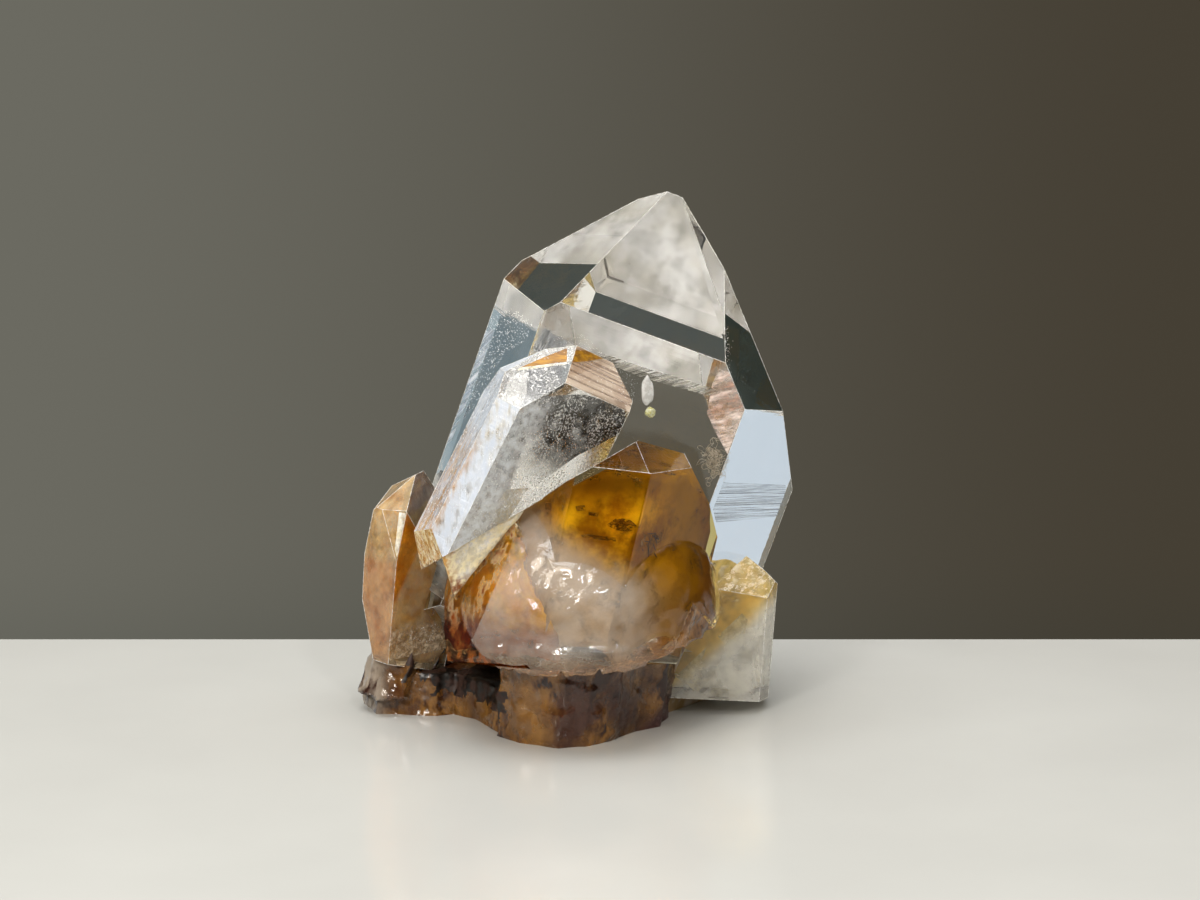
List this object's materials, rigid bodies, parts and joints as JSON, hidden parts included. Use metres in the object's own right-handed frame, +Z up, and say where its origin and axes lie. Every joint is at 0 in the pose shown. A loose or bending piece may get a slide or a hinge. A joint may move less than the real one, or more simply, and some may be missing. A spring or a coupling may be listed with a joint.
{
  "type": "quartz crystal cluster",
  "caption": "Clear pointed quartz crystal with smaller frosted, amber and tan crystals grown on its iron-stained foot, cut flat below so that it stands.",
  "frame": {"origin": "centre of the bounding box at the flat cut under the foot", "axes": "+Z up, along the height; -Y is the front, with the frosted and amber crystals; +X is to the right seen from the front"},
  "size_m": [0.0358, 0.034, 0.0425],
  "materials": {
    "clear_quartz": "clear to amber, glossy crystal faces with fine growth lines"
  },
  "bodies": {
    "root": {"quartz_cluster": "clear_quartz"}
  },
  "joints": []
}
